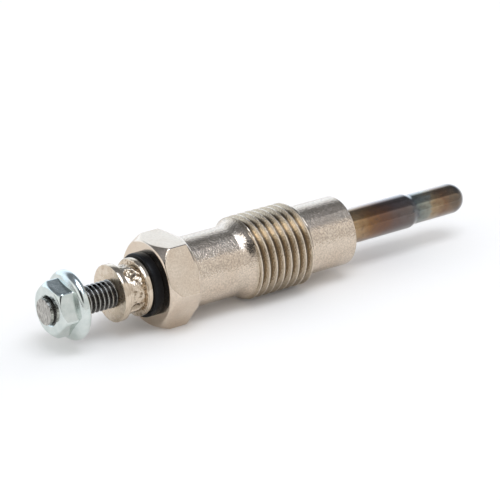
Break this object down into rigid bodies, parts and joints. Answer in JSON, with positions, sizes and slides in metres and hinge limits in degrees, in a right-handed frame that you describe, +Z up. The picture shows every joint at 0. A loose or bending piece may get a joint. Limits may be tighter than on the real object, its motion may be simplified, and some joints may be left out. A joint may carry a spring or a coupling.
{
  "type": "diesel glow plug",
  "caption": "Metal-sheathed diesel glow plug with a threaded terminal, flange nut, hexagon, mounting thread and a stepped glow tube with heat colours.",
  "frame": {"origin": "on the plug's axis, in the middle of the mounting thread", "axes": "+X along the plug's axis from the terminal to the heated tip, +Z up as the plug lies on one flat of its hexagon"},
  "size_m": [0.0719, 0.0138, 0.012],
  "materials": {
    "nickel_plate": "warm nickel plate with fine turning marks",
    "zinc_plate": "pale bluish zinc plate",
    "dark_steel": "dark plain steel thread",
    "black_plastic": "glossy black moulding",
    "seal_rubber": "matt black rubber",
    "heat_coloured_sheath": "nickel alloy with brown, purple and blue heat colours",
    "coil_wire": "drawn resistance wire",
    "magnesium_oxide": "packed white powder"
  },
  "bodies": {
    "root": {"terminal_nut": "zinc_plate", "terminal_stud": "dark_steel", "round_nut": "nickel_plate", "insulating_washer": "black_plastic", "housing_seal": "seal_rubber", "plug_housing": "nickel_plate", "element_seal": "seal_rubber", "glow_tube": "heat_coloured_sheath", "regulating_coil": "coil_wire", "heating_coil": "coil_wire", "filling_powder": "magnesium_oxide"}
  },
  "joints": []
}
